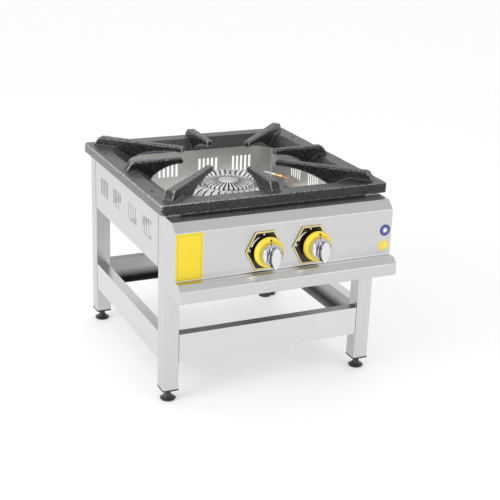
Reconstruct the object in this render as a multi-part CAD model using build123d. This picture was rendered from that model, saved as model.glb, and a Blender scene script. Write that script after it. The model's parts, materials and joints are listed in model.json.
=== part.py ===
from build123d import *
import math
import os

# Stock pot range: a low single-burner floor stove on four square legs.
# Millimetres, +Z up, the front (knob side) faces -Y. Every piece is drawn about the vertical axis of
# the burner, with the floor at Z = 0, and moved along Y at the end so that the origin is the middle
# of the floor print.

# ---- overall ----
POT_REST = 536              # level finger tops above the floor
TOP_SIDE = 600              # side of the square cast iron top

# ---- leg frame ----
TOP_OVERHANG = 14           # cast iron top past the outer faces of the legs
LEG_SIDE = 40               # square tube
LEG_WALL = 1.5
LEG_BOTTOM = 32             # lower end of the tube above the floor
CAP_LIP = 5                 # plastic end cap: the lip under the tube
CAP_OVERHANG = 1
CAP_PLUG = 22               # part of the cap inside the tube
CAP_CHAMFER = 1.6
FOOT_RADIUS = 20
FOOT_BELL_HEIGHT = 15
FOOT_RIM = 4                # height of the foot's rounded edge
FOOT_NECK_RADIUS = 8
FOOT_SCREW_RADIUS = 5
FOOT_SCREW_TOP = 46         # upper end of the foot's screw above the floor
RUNNING_FIT = 0.05          # radial clearance of turning and sliding pieces

# ---- lower rails, inward channels ----
RAIL_BOTTOM = 102
RAIL_HEIGHT = 74
RAIL_FLANGE = 28
RAIL_INSET = 1              # behind the leg faces

# ---- apron panels ----
SHEET = 1.2
APRON_HEIGHT = 162
APRON_FLANGE = 24
VENT_WIDTH = 6.6
VENT_HEIGHT = 46
VENT_PITCH = 12.9
VENTS_IN_GROUP = 5
VENT_RISE = 53              # lower end of the slots above the panel's lower edge
VENT_GROUP_NEAR = 61        # centre of the inner groups from the middle of the panel
VENT_GROUP_FAR = 166        # centre of the outer groups

# ---- cast iron top ----
TOP_CORNER = 6
RIM_DEPTH = 26              # height of the outer flange
TOP_WALL = 8
RIM_FLAT = 42               # level part of the rim
RIM_DISH = 40               # part that slopes down to the opening
OPENING_CORNER = 70
CREST_CORNER = 90
WEDGE = 4                   # height in which the dished wall meets the rim's level part
RIM_HOLE_RADIUS = 4
RIM_HOLE_EDGE = 22          # hole centre from the outer side
RIM_HOLE_SPREAD = 180       # hole centre from the middle

# ---- the eight pot fingers ----
FINGER_RISE = 24            # level finger tops above the rim
FINGER_TIP_RADIUS = 130
FINGER_TIP_HEIGHT = 17
FINGER_TIP_WIDTH = 17
FINGER_HEAD_WIDTH = 25
FINGER_CHAMFER = 3
SIDE_HEAD_INSET = 16        # head ends of the straight fingers inside the top's edges
CORNER_HEAD_INSET = 36.5    # head ends of the diagonal fingers inside the top's corners
HEAD_SLOPE = 14             # top of the head end lies this far inside its foot
HEAD_UNDERCUT = 20
HEAD_GAP = 4                # undercut end of the head above the rim
FINGER_SINK = 2             # fingers are cast this far into the rim
ARCH_PLACE = 0.625          # middle of the arch below a finger, from its tip to its root
ARCH_RISE = 0.72            # height of that middle, from the root to the tip

# ---- burner ----
RING_DROP = 76              # crown of the ring cap below the pot rest
RING_RADIUS = 130
RING_BORE = 79
RING_CROWN = 103            # radius at which the arched ring is highest
RING_FALL_IN = 8            # its edges below the crown
RING_FALL_OUT = 12
RING_SLOTS = 40
CAP_DISC_RADIUS = 66
CAP_DISC_STEP = 1           # top of the inner cap's edge below the ring cap's crown
CAP_DISC_RISE = 7
CAP_DISC_THICKNESS = 12
CAP_DISC_BEVEL = 2
CAP_THICKNESS = 14
CAP_LIP_DEPTH = 4
DISC_SLOTS = 32
FLAME_SLOT_WIDTH = 3
RING_SLOT_DEPTH = 12
DISC_SLOT_DEPTH = 8
DISC_SLOT_START = 26
CAST_WALL = 5.6
BURNER_DEPTH = 64           # underside of both gas chambers below the ring cap's top
TROUGH_INSET = 3            # outer chamber's walls inside the ring cap's edges
CUP_STEP = 4                # inner chamber's wall outside the disc's edge
WEBS = 3
WEB_START = 60              # angle of the first web
WEB_WIDTH = 10
WEB_DROP = 17               # top of the webs below the chambers' rim
POST_RADIUS = 8
POST_CIRCLE = 104
SEAT_GAP = 0.8              # radial play of the loose caps in the chambers

# ---- mixing tubes and injectors ----
TUBE_X = 40
TUBE_RADIUS = 19
TUBE_WALL = 4
TUBE_MOUTH_RADIUS = 26
TUBE_THROAT_BORE = 13
TUBE_BELL_LENGTH = 34       # from the mouth to the throat
TUBE_MOUTH_GAP = 66         # mouth behind the leg fronts
OUTER_TUBE_RISE = 25        # axis above the underside of the chambers
INNER_TUBE_DROP = 23        # axis below it
INJECTOR_RADIUS = 8
INJECTOR_LENGTH = 16
JET_RADIUS = 4
JET_LENGTH = 7

# ---- burner carriers ----
CARRIER_WIDTH = 40
CARRIER_HEIGHT = 8
CARRIER_WALL = 2
BOLT_RADIUS = 4
BOLT_HEAD_RADIUS = 6.5
BOLT_HEAD_HEIGHT = 5
BOLT_GRIP = 18

# ---- control box in front of the legs: side profile ----
BOX_SHEET = 1.5
BOX_BEND = 3                # outer radius of the folds
DECK_GAP = 5                # deck below the cast top's rim
DECK_REACH = 49             # deck edge in front of the legs
BAND_DROP = 20              # height of the slanted band
PANEL_REACH = 71            # knob panel in front of the legs
PANEL_HEIGHT = 117
LEDGE_REACH = 91
LEDGE_DROP = 13             # height of the slope from the ledge to the lip
LIP_REACH = 106
LIP_HEIGHT = 30

# ---- knobs ----
KNOB_MIDDLE = 6.5           # the two knobs stand this far to the right on the panel
KNOB_X = 64.5               # each knob axis from there
KNOB_RISE = 52.5            # knob axis above the ledge
BEZEL_X = 61.5              # centre of each plate; the plates don't sit quite centred on the knobs
BEZEL_WIDTH = 100
BEZEL_HEIGHT = 95
BEZEL_FLAT = 49             # length of the level edges
BEZEL_THICKNESS = 2
KNOB_PUSH = 3.5
KNOB_AIR = 9                # left behind the skirt when pushed in
SKIRT_RADIUS = 37.5
SKIRT_DEPTH = 13
SKIRT_TAPER = 1
SKIRT_WALL = 3
SKIRT_ROUND = 4
SKIRT_SEAT = 1              # the hub sits this far into the skirt's dished face
HUB_RADIUS = 27
HUB_SPIGOT_RADIUS = 20
HUB_DEPTH = 20
HUB_TAPER = 1
HUB_ROUND = 5
GRIP_WIDTH = 28             # leaf-shaped grip, widest at the axis
GRIP_TOP_WIDTH = 15
GRIP_TIP_WIDTH = 10
GRIP_ABOVE = 24             # grip above the axis
GRIP_BELOW = 31             # grip below the axis
GRIP_END = 3                # height of its rounded ends
GRIP_DEPTH = 32
GRIP_TAPER = 3
STEM_RADIUS = 4
STEM_HOLE_RADIUS = 6
STEM_END_GAP = 1            # left in the socket when the knob is pushed in

# ---- gas taps ----
TAP_RADIUS = 14
TAP_GAP = 7.5               # tap barrel behind the knob panel
TAP_LENGTH = 38
TAP_OUTLET_RADIUS = 8
TAP_OUTLET_LENGTH = 12
TAP_LEG_RADIUS = 9
PLUG_FRONT_RADIUS = 9
PLUG_BACK_RADIUS = 7
PLUG_LENGTH = 28
PLUG_START = 4              # plug behind the barrel's front face
STEM_SOCKET = 14            # depth of the stem's socket in the plug

# ---- gas line ----
MANIFOLD_RADIUS = 10.65
MANIFOLD_BORE = 8
MANIFOLD_SETBACK = 17       # manifold axis behind the front of the taps
MANIFOLD_DROP = 36.5        # below the taps' axis
MANIFOLD_OVERRUN = 38       # length of the manifold beyond each tap
MANIFOLD_END = 5            # thickness of its closed ends
MANIFOLD_BRACKET_STEP = 18.5    # each bracket outside its tap
MANIFOLD_BRACKET_WIDTH = 4
MANIFOLD_BRACKET_EDGE = 4.5
INLET_X = -43
INLET_DROP = 33             # lower end of the inlet below the box
INLET_NUT_RADIUS = 15.5
INLET_NUT_HEIGHT = 24
INLET_CHAMFER = 2
INLET_THREAD_RADIUS = 9.5
INLET_THREAD_DEPTH = 15
INLET_HOLE_RADIUS = 17
FEED_RADIUS = 4
FEED_HOLE_RADIUS = 6
FEED_BEND = 12
FEED_FIRST_CORNER = 12      # corners of the pipe behind the leg fronts
FEED_SECOND_CORNER = 28

# ---- thermocouple beside the outer ring ----
PROBE_ANGLE = 26            # tip, round the burner from +X
PROBE_CLEARANCE = 21        # tip outside the ring cap
PROBE_DROP = 5              # tip below the ring cap's top
PROBE_SPAN_X = 32           # from the tip to the rear end: outwards, forwards and down
PROBE_SPAN_Y = 48
PROBE_FALL = 4
PROBE_TIP_RADIUS = 2.2
PROBE_TIP_LENGTH = 20
PROBE_SLEEVE_RADIUS = 4
PROBE_NUT_RADIUS = 5.5
PROBE_NUT_LENGTH = 8
LEAD_RADIUS = 1.6
LEAD_STRAIGHT = 20          # lead in line with the probe before its first bend
LEAD_SAG_X = 2              # from there to the lead's lowest corner: outwards, forwards and down
LEAD_SAG_Y = 16
LEAD_FALL = 42
LEAD_BEND = 10
LEAD_NEAR_WALL = 60         # last corner of the lead in the well behind the bulkhead
LEAD_STEP = 20              # where the lead passes the bulkhead, beside the magnet's end
LEAD_HOLE_RADIUS = 3.5
MAGNET_RADIUS = 7
MAGNET_LENGTH = 18          # safety magnet's housing on the side of the tap
MAGNET_SETBACK = 20         # its axis behind the front of the tap
BRACKET_WIDTH = 26
BRACKET_SHEET = 2
BRACKET_RISE = 9            # above the probe's rear end
BRACKET_SETBACK = 12        # from that end

# ---- places that follow from the sizes above ----
FRAME_HALF = TOP_SIDE / 2 - TOP_OVERHANG
LEG_CENTRE = FRAME_HALF - LEG_SIDE / 2
LEG_INNER = FRAME_HALF - LEG_SIDE
RIM_TOP = POT_REST - FINGER_RISE
FRAME_TOP = RIM_TOP - TOP_WALL
APRON_BOTTOM = FRAME_TOP - APRON_HEIGHT
FRONT = -FRAME_HALF
RIM_BOTTOM = RIM_TOP - RIM_DEPTH
CREST_HALF = TOP_SIDE / 2 - RIM_FLAT
OPENING_HALF = CREST_HALF - RIM_DISH
SIDE_HEAD_RADIUS = TOP_SIDE / 2 - SIDE_HEAD_INSET
CORNER_HEAD_RADIUS = TOP_SIDE / math.sqrt(2) - CORNER_HEAD_INSET
RING_TOP = POT_REST - RING_DROP
CAP_DISC_EDGE = RING_TOP - CAP_DISC_STEP
BURNER_FLOOR = RING_TOP - BURNER_DEPTH
OUTER_TUBE_Z = BURNER_FLOOR + OUTER_TUBE_RISE
INNER_TUBE_Z = BURNER_FLOOR - INNER_TUBE_DROP
DECK_Z = RIM_BOTTOM - DECK_GAP
BAND_Z = DECK_Z - BAND_DROP
LEDGE_Z = BAND_Z - PANEL_HEIGHT
LIP_TOP_Z = LEDGE_Z - LEDGE_DROP
BOX_BOTTOM_Z = LIP_TOP_Z - LIP_HEIGHT
KNOB_Z = LEDGE_Z + KNOB_RISE
PANEL_Y = FRONT - PANEL_REACH
KNOB_BACK_Y = PANEL_Y - BEZEL_THICKNESS - KNOB_PUSH - KNOB_AIR
SKIRT_FRONT_Y = KNOB_BACK_Y - SKIRT_DEPTH
GRIP_FRONT_Y = SKIRT_FRONT_Y - GRIP_DEPTH
TAP_FRONT_Y = PANEL_Y + BOX_SHEET + TAP_GAP
TAP_BACK_Y = TAP_FRONT_Y + TAP_LENGTH
MANIFOLD_Y = TAP_FRONT_Y + MANIFOLD_SETBACK
MANIFOLD_Z = KNOB_Z - MANIFOLD_DROP
MANIFOLD_HALF = KNOB_X + MANIFOLD_OVERRUN
MANIFOLD_BRACKET_X = KNOB_X + MANIFOLD_BRACKET_STEP
KNOB_RIGHT = KNOB_MIDDLE + KNOB_X
INLET_BOTTOM = BOX_BOTTOM_Z - INLET_DROP
CARRIER_BOTTOM = APRON_BOTTOM + SHEET
CARRIER_TOP = CARRIER_BOTTOM + CARRIER_HEIGHT
POST_PLACE = POST_CIRCLE / math.sqrt(2)
CHAMBER_TOP = RING_TOP - CAP_THICKNESS
DISC_SEAT = CAP_DISC_EDGE - CAP_DISC_THICKNESS
TROUGH_IN = RING_BORE + TROUGH_INSET
TROUGH_OUT = RING_RADIUS - TROUGH_INSET
CUP_OUT = CAP_DISC_RADIUS + CUP_STEP
MOUTH_Y = FRONT + TUBE_MOUTH_GAP
INJECTOR_Y = MOUTH_Y - JET_LENGTH - INJECTOR_LENGTH
OUTER_TUBE_END_Y = -math.sqrt((TROUGH_OUT - CAST_WALL) ** 2 - (TUBE_X + TUBE_RADIUS) ** 2)
PROBE_TIP_CIRCLE = RING_RADIUS + PROBE_CLEARANCE
PROBE_TIP = Vector(PROBE_TIP_CIRCLE * math.cos(math.radians(PROBE_ANGLE)),
                   PROBE_TIP_CIRCLE * math.sin(math.radians(PROBE_ANGLE)), RING_TOP - PROBE_DROP)
PROBE_RUN = Vector(PROBE_SPAN_X, -PROBE_SPAN_Y, -PROBE_FALL)
PROBE_END = PROBE_TIP + PROBE_RUN
LEAD_SAG = Vector(LEAD_SAG_X, -LEAD_SAG_Y, -LEAD_FALL)
PROBE_DIRECTION = (PROBE_RUN * -1).normalized()
MAGNET_END_X = KNOB_RIGHT + TAP_RADIUS + MAGNET_LENGTH
MAGNET_Y = TAP_FRONT_Y + MAGNET_SETBACK
LEAD_WALL_X = MAGNET_END_X + LEAD_STEP
ORIGIN_SHIFT = (-GRIP_FRONT_Y - TOP_SIDE / 2) / 2

LEG_PLACES = {
    "front_left": (-1, -1),
    "front_right": (1, -1),
    "rear_left": (-1, 1),
    "rear_right": (1, 1),
}
SIDES = {"left": -1, "right": 1}
SIDE_TURN = {"front": 0, "right": 90, "rear": 180, "left": 270}
OVERCUT = 1                 # cutting shapes run this far past what they cut


def block(x0, x1, y0, y1, z0, z1):
    """A box between two corners."""
    centre = Pos((x0 + x1) / 2, (y0 + y1) / 2, (z0 + z1) / 2)
    return centre * Box(abs(x1 - x0), abs(y1 - y0), abs(z1 - z0))


def post(x, y, z0, z1, radius):
    """An upright cylinder."""
    return Pos(x, y, (z0 + z1) / 2) * Cylinder(radius, z1 - z0)


def rod(x, z, y0, y1, radius):
    """A cylinder along Y."""
    return Pos(x, (y0 + y1) / 2, z) * Rot(90, 0, 0) * Cylinder(radius, abs(y1 - y0))


def bar(y, z, x0, x1, radius):
    """A cylinder along X."""
    return Pos((x0 + x1) / 2, y, z) * Rot(0, 90, 0) * Cylinder(radius, abs(x1 - x0))


def turned(points):
    """A solid of revolution about Z from an outline of (radius, z) points."""
    outline = make_face(Plane.XZ * Polyline(*points, close=True))
    return revolve(outline, Axis.Z)


def turned_along_y(points, x, z):
    """A solid of revolution about an axis along Y; the points are (radius, y)."""
    outline = make_face(Polyline(*points, close=True))
    return Pos(x, 0, z) * revolve(outline, Axis.Y)


def pipe(points, radius, bend):
    """A bent pipe through the corners of its route."""
    route = FilletPolyline(*points, radius=bend)
    start = Plane(origin=route @ 0, z_dir=route % 0)
    return sweep(start * Circle(radius), path=route)


def knob_x(side):
    """The place of a knob's axis along the panel."""
    return KNOB_MIDDLE + side * KNOB_X


# ---------------------------------------------------------------- frame

def leg(sx, sy):
    outside = Box(LEG_SIDE, LEG_SIDE, FRAME_TOP - LEG_BOTTOM)
    bore = LEG_SIDE - 2 * LEG_WALL
    inside = Box(bore, bore, FRAME_TOP - LEG_BOTTOM)
    upright = fillet(outside.edges().filter_by(Axis.Z), LEG_WALL) - inside
    return Pos(sx * LEG_CENTRE, sy * LEG_CENTRE, (FRAME_TOP + LEG_BOTTOM) / 2) * upright


def leg_cap(sx, sy):
    lip_side = LEG_SIDE + 2 * CAP_OVERHANG
    plug_side = LEG_SIDE - 2 * LEG_WALL
    lip = Pos(0, 0, LEG_BOTTOM - CAP_LIP / 2) * Box(lip_side, lip_side, CAP_LIP)
    lip = chamfer(lip.faces().sort_by(Axis.Z)[0].edges(), CAP_CHAMFER)
    plug = Pos(0, 0, LEG_BOTTOM + CAP_PLUG / 2) * Box(plug_side, plug_side, CAP_PLUG)
    top = LEG_BOTTOM + CAP_PLUG
    bore = post(0, 0, LEG_BOTTOM - CAP_LIP, top, FOOT_SCREW_RADIUS + RUNNING_FIT)
    return Pos(sx * LEG_CENTRE, sy * LEG_CENTRE, 0) * (lip + plug - bore)


def foot(sx, sy):
    neck_top = LEG_BOTTOM - CAP_LIP
    outline = Polyline(
        (FOOT_NECK_RADIUS, FOOT_BELL_HEIGHT), (FOOT_NECK_RADIUS, neck_top),
        (FOOT_SCREW_RADIUS, neck_top), (FOOT_SCREW_RADIUS, FOOT_SCREW_TOP),
        (0, FOOT_SCREW_TOP), (0, 0), (FOOT_RADIUS - FOOT_RIM / 2, 0), (FOOT_RADIUS, FOOT_RIM),
    )
    bell = RadiusArc((FOOT_RADIUS, FOOT_RIM), (FOOT_NECK_RADIUS, FOOT_BELL_HEIGHT), FOOT_RADIUS)
    profile = make_face(Plane.XZ * (outline + bell))
    return Pos(sx * LEG_CENTRE, sy * LEG_CENTRE, 0) * revolve(profile, Axis.Z)


def channel(length, height, flange, sheet, web_inset=0):
    """Sheet channel along X, web at Y = web_inset facing -Y, flanges towards +Y, bottom at Z = 0."""
    near = web_inset
    outline = make_face(Plane.YZ * Polyline(
        (near, 0), (flange, 0), (flange, sheet), (near + sheet, sheet),
        (near + sheet, height - sheet), (flange, height - sheet), (flange, height), (near, height),
        close=True,
    ))
    return extrude(outline, length / 2, both=True)


def on_side(side, piece):
    """Place a piece drawn at the front face of the frame on another side."""
    return Rot(0, 0, SIDE_TURN[side]) * Pos(0, FRONT, 0) * piece


def lower_rail(side):
    shape = channel(2 * LEG_INNER, RAIL_HEIGHT, RAIL_FLANGE, LEG_WALL, RAIL_INSET)
    return on_side(side, Pos(0, 0, RAIL_BOTTOM) * shape)


def vents():
    """The four groups of upright slots in a panel that faces -Y."""
    cuts = []
    z = APRON_BOTTOM + VENT_RISE + VENT_HEIGHT / 2
    for centre in (-VENT_GROUP_FAR, -VENT_GROUP_NEAR, VENT_GROUP_NEAR, VENT_GROUP_FAR):
        for i in range(VENTS_IN_GROUP):
            x = centre + (i - (VENTS_IN_GROUP - 1) / 2) * VENT_PITCH
            cuts.append(Pos(x, SHEET / 2, z) * Box(VENT_WIDTH, 3 * SHEET, VENT_HEIGHT))
    return cuts


def apron(side):
    height = FRAME_TOP - APRON_BOTTOM
    sheet = Pos(0, 0, APRON_BOTTOM) * channel(2 * LEG_INNER, height, APRON_FLANGE, SHEET)
    return on_side(side, sheet - vents())


def bulkhead():
    """The wall between the burner well and the control box, with the holes of the gas pipes."""
    height = FRAME_TOP - BOX_BOTTOM_Z
    sheet = Pos(0, 0, BOX_BOTTOM_Z) * channel(2 * LEG_INNER, height, APRON_FLANGE, SHEET)
    sheet = Pos(0, FRONT, 0) * sheet
    before, behind = FRONT - OVERCUT, FRONT + SHEET + OVERCUT
    holes = [rod(knob_x(s), KNOB_Z, before, behind, FEED_HOLE_RADIUS) for s in (-1, 1)]
    holes.append(rod(LEAD_WALL_X, KNOB_Z, before, behind, LEAD_HOLE_RADIUS))
    return sheet - holes


# ---------------------------------------------------------------- cast iron top

def square_ring(half, corner, z):
    return Pos(0, 0, z) * RectangleRounded(2 * half, 2 * half, corner)


def finger(head_radius, root_radius, crest_radius):
    """One pot finger along +X: a level-topped rib with an arched underside."""
    tip_low = POT_REST - FINGER_TIP_HEIGHT
    arch_x = FINGER_TIP_RADIUS + ARCH_PLACE * (root_radius - FINGER_TIP_RADIUS)
    arch_z = RIM_BOTTOM + ARCH_RISE * (tip_low - RIM_BOTTOM)
    sunk = RIM_TOP - FINGER_SINK
    outline = Polyline(
        (FINGER_TIP_RADIUS, tip_low), (FINGER_TIP_RADIUS, POT_REST),
        (head_radius - HEAD_SLOPE, POT_REST), (head_radius, RIM_TOP + HEAD_GAP),
        (head_radius - HEAD_UNDERCUT, sunk), (crest_radius, sunk), (root_radius, RIM_BOTTOM),
    )
    arch = ThreePointArc((root_radius, RIM_BOTTOM), (arch_x, arch_z), (FINGER_TIP_RADIUS, tip_low))
    side = make_face(Plane.XZ * (outline + arch))
    rib = extrude(side, FINGER_HEAD_WIDTH, both=True)
    plan = make_face(Polyline(
        (FINGER_TIP_RADIUS, FINGER_TIP_WIDTH / 2), (head_radius, FINGER_HEAD_WIDTH / 2),
        (head_radius, -FINGER_HEAD_WIDTH / 2), (FINGER_TIP_RADIUS, -FINGER_TIP_WIDTH / 2),
        close=True,
    ))
    rib &= Pos(0, 0, RIM_BOTTOM) * extrude(plan, POT_REST - RIM_BOTTOM)
    return chamfer(rib.faces().sort_by(Axis.Z)[-1].edges(), FINGER_CHAMFER)


def cast_top():
    outer = extrude(square_ring(TOP_SIDE / 2, TOP_CORNER, RIM_BOTTOM), RIM_DEPTH)
    cavity = square_ring(TOP_SIDE / 2 - TOP_WALL, TOP_CORNER, RIM_BOTTOM)
    rim = outer - extrude(cavity, RIM_DEPTH - TOP_WALL)
    rim += loft([
        square_ring(OPENING_HALF + TOP_WALL, OPENING_CORNER + TOP_WALL, RIM_BOTTOM),
        square_ring(CREST_HALF + TOP_WALL, CREST_CORNER + TOP_WALL, RIM_TOP - WEDGE),
    ], ruled=True)
    rim -= loft([
        square_ring(OPENING_HALF, OPENING_CORNER, RIM_BOTTOM),
        square_ring(CREST_HALF, CREST_CORNER, RIM_TOP),
    ], ruled=True)
    round_off = 1 - math.sqrt(0.5)
    corner_root = (OPENING_HALF - round_off * OPENING_CORNER) * math.sqrt(2)
    corner_crest = (CREST_HALF - round_off * CREST_CORNER) * math.sqrt(2)
    straight = finger(SIDE_HEAD_RADIUS, OPENING_HALF + FINGER_SINK, CREST_HALF)
    diagonal = finger(CORNER_HEAD_RADIUS, corner_root + FINGER_SINK, corner_crest)
    fingers = []
    for quarter in range(4):
        fingers.append(Rot(0, 0, 90 * quarter) * straight)
        fingers.append(Rot(0, 0, 90 * quarter + 45) * diagonal)
    hole_x = TOP_SIDE / 2 - RIM_HOLE_EDGE
    holes = [post(sx * hole_x, sy * RIM_HOLE_SPREAD, RIM_BOTTOM, RIM_TOP + OVERCUT, RIM_HOLE_RADIUS)
             for sx in (-1, 1) for sy in (-1, 1)]
    return rim + fingers - holes


# ---------------------------------------------------------------- burner

def flame_slots(count, inside, outside, floor, roof):
    """Radial grooves all round, from one radius to another."""
    cut = block(inside, outside, -FLAME_SLOT_WIDTH / 2, FLAME_SLOT_WIDTH / 2, floor, roof)
    return [Rot(0, 0, i * 360 / count) * cut for i in range(count)]


def outer_ring_cap():
    """Loose cast ring with an arched top and radial grooves, centred by a lip in the outer chamber."""
    lip_in = TROUGH_IN + CAST_WALL + SEAT_GAP
    lip_out = TROUGH_OUT - CAST_WALL - SEAT_GAP
    lip_bottom = CHAMBER_TOP - CAP_LIP_DEPTH
    inner_edge, outer_edge = RING_TOP - RING_FALL_IN, RING_TOP - RING_FALL_OUT
    arch = ThreePointArc((RING_BORE, inner_edge), (RING_CROWN, RING_TOP), (RING_RADIUS, outer_edge))
    outline = Polyline(
        (RING_RADIUS, outer_edge), (RING_RADIUS, CHAMBER_TOP), (lip_out, CHAMBER_TOP),
        (lip_out, lip_bottom), (lip_in, lip_bottom), (lip_in, CHAMBER_TOP),
        (RING_BORE, CHAMBER_TOP), (RING_BORE, inner_edge),
    )
    ring = revolve(make_face(Plane.XZ * (outline + arch)), Axis.Z)
    return ring - flame_slots(RING_SLOTS, RING_BORE - OVERCUT, RING_RADIUS + OVERCUT,
                              RING_TOP - RING_SLOT_DEPTH, RING_TOP + OVERCUT)


def inner_cap():
    """Loose domed disc with radial grooves, centred by a lip in the inner chamber."""
    lip_out = CUP_OUT - CAST_WALL - SEAT_GAP
    lip_in = lip_out - CAST_WALL
    lip_bottom = DISC_SEAT - CAP_LIP_DEPTH
    crown = CAP_DISC_EDGE + CAP_DISC_RISE
    disc = turned([
        (0, DISC_SEAT), (0, crown), (CAP_DISC_RADIUS - CAP_DISC_BEVEL, CAP_DISC_EDGE),
        (CAP_DISC_RADIUS, CAP_DISC_EDGE - CAP_DISC_BEVEL), (CAP_DISC_RADIUS, DISC_SEAT),
        (lip_out, DISC_SEAT), (lip_out, lip_bottom), (lip_in, lip_bottom), (lip_in, DISC_SEAT),
    ])
    return disc - flame_slots(DISC_SLOTS, DISC_SLOT_START, CAP_DISC_RADIUS + OVERCUT,
                              CAP_DISC_EDGE - DISC_SLOT_DEPTH, crown + OVERCUT)


def burner_body():
    """The outer ring chamber on four posts, with the webs that hold the inner chamber."""
    floor_top = BURNER_FLOOR + CAST_WALL
    trough = turned([
        (TROUGH_IN, BURNER_FLOOR), (TROUGH_OUT, BURNER_FLOOR), (TROUGH_OUT, CHAMBER_TOP),
        (TROUGH_OUT - CAST_WALL, CHAMBER_TOP), (TROUGH_OUT - CAST_WALL, floor_top),
        (TROUGH_IN + CAST_WALL, floor_top), (TROUGH_IN + CAST_WALL, CHAMBER_TOP),
        (TROUGH_IN, CHAMBER_TOP),
    ])
    web = block(0, TROUGH_IN + CAST_WALL / 2,
                -WEB_WIDTH / 2, WEB_WIDTH / 2, BURNER_FLOOR, CHAMBER_TOP - WEB_DROP)
    web -= post(0, 0, BURNER_FLOOR, CHAMBER_TOP, CUP_OUT)
    body = trough + [Rot(0, 0, WEB_START + i * 360 / WEBS) * web for i in range(WEBS)]
    for sx in (-1, 1):
        for sy in (-1, 1):
            x, y = sx * POST_PLACE, sy * POST_PLACE
            body += post(x, y, CARRIER_TOP, BURNER_FLOOR, POST_RADIUS)
            body -= post(x, y, CARRIER_TOP, CARRIER_TOP + BOLT_GRIP, BOLT_RADIUS)
    return body - rod(-TUBE_X, OUTER_TUBE_Z, MOUTH_Y, OUTER_TUBE_END_Y, TUBE_RADIUS)


def inner_burner_body():
    """The inner chamber: a cup that stands in the outer casting's webs."""
    floor_top = BURNER_FLOOR + CAST_WALL
    cup = turned([
        (0, BURNER_FLOOR), (CUP_OUT, BURNER_FLOOR), (CUP_OUT, DISC_SEAT),
        (CUP_OUT - CAST_WALL, DISC_SEAT), (CUP_OUT - CAST_WALL, floor_top), (0, floor_top),
    ])
    return cup - post(TUBE_X, 0, BURNER_FLOOR, floor_top, TUBE_RADIUS)


def mixing_tube(x, z, back_y):
    """A cast mixing tube: open bell mouth in front, a throat, then the straight tube."""
    throat_y = MOUTH_Y + TUBE_BELL_LENGTH
    outside = [(TUBE_MOUTH_RADIUS, MOUTH_Y), (TUBE_MOUTH_RADIUS, MOUTH_Y + TUBE_WALL),
               (TUBE_RADIUS, throat_y), (TUBE_RADIUS, back_y)]
    bore = [(TUBE_RADIUS - TUBE_WALL, back_y), (TUBE_THROAT_BORE, throat_y),
            (TUBE_MOUTH_RADIUS - TUBE_WALL, MOUTH_Y)]
    return turned_along_y(outside + bore, x, z)


def outer_mixing_tube():
    return mixing_tube(-TUBE_X, OUTER_TUBE_Z, OUTER_TUBE_END_Y)


def inner_mixing_tube():
    """The lower tube runs under the outer ring and turns up into the inner chamber."""
    bore = TUBE_RADIUS - TUBE_WALL
    tube = mixing_tube(TUBE_X, INNER_TUBE_Z, -TUBE_RADIUS)
    elbow = Pos(TUBE_X, 0, INNER_TUBE_Z) * Sphere(TUBE_RADIUS)
    elbow += rod(TUBE_X, INNER_TUBE_Z, -TUBE_RADIUS, 0, TUBE_RADIUS)
    elbow += post(TUBE_X, 0, INNER_TUBE_Z, BURNER_FLOOR + CAST_WALL, TUBE_RADIUS)
    hollow = Pos(TUBE_X, 0, INNER_TUBE_Z) * Sphere(bore)
    hollow += rod(TUBE_X, INNER_TUBE_Z, -TUBE_RADIUS, 0, bore)
    hollow += post(TUBE_X, 0, INNER_TUBE_Z, BURNER_FLOOR + CAST_WALL, bore)
    return tube + (elbow - hollow)


def carrier(sy):
    """A pressed channel across the frame, open below, lying on the flanges of the side aprons."""
    length = 2 * (FRAME_HALF - SHEET)
    half = CARRIER_WIDTH / 2
    rail = block(-length / 2, length / 2, -half, half, CARRIER_BOTTOM, CARRIER_TOP)
    rail -= block(-length / 2, length / 2, -half + CARRIER_WALL, half - CARRIER_WALL,
                  CARRIER_BOTTOM, CARRIER_TOP - CARRIER_WALL)
    rail -= [post(s * POST_PLACE, 0, CARRIER_BOTTOM, CARRIER_TOP, BOLT_RADIUS) for s in (-1, 1)]
    return Pos(0, sy * POST_PLACE, 0) * rail


def burner_bolts():
    seat = CARRIER_TOP - CARRIER_WALL
    head = extrude(RegularPolygon(BOLT_HEAD_RADIUS, 6), BOLT_HEAD_HEIGHT)
    shank = post(0, 0, seat - BOLT_HEAD_HEIGHT, CARRIER_TOP + BOLT_GRIP, BOLT_RADIUS)
    bolt = Pos(0, 0, seat - BOLT_HEAD_HEIGHT) * head + shank
    return [Pos(sx * POST_PLACE, sy * POST_PLACE, 0) * bolt for sx in (-1, 1) for sy in (-1, 1)]


# ---------------------------------------------------------------- control box

def box_profile():
    """Side outline of the control box with its folds, closed along the front faces of the legs."""
    outline = make_face(Polyline(
        (FRONT, DECK_Z), (FRONT - DECK_REACH, DECK_Z), (PANEL_Y, BAND_Z), (PANEL_Y, LEDGE_Z),
        (FRONT - LEDGE_REACH, LEDGE_Z), (FRONT - LIP_REACH, LIP_TOP_Z),
        (FRONT - LIP_REACH, BOX_BOTTOM_Z), (FRONT, BOX_BOTTOM_Z), close=True,
    ))
    folds = outline.vertices().filter_by(lambda corner: corner.X < FRONT - OVERCUT)
    return Plane.YZ * fillet(folds, BOX_BEND)


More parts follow.
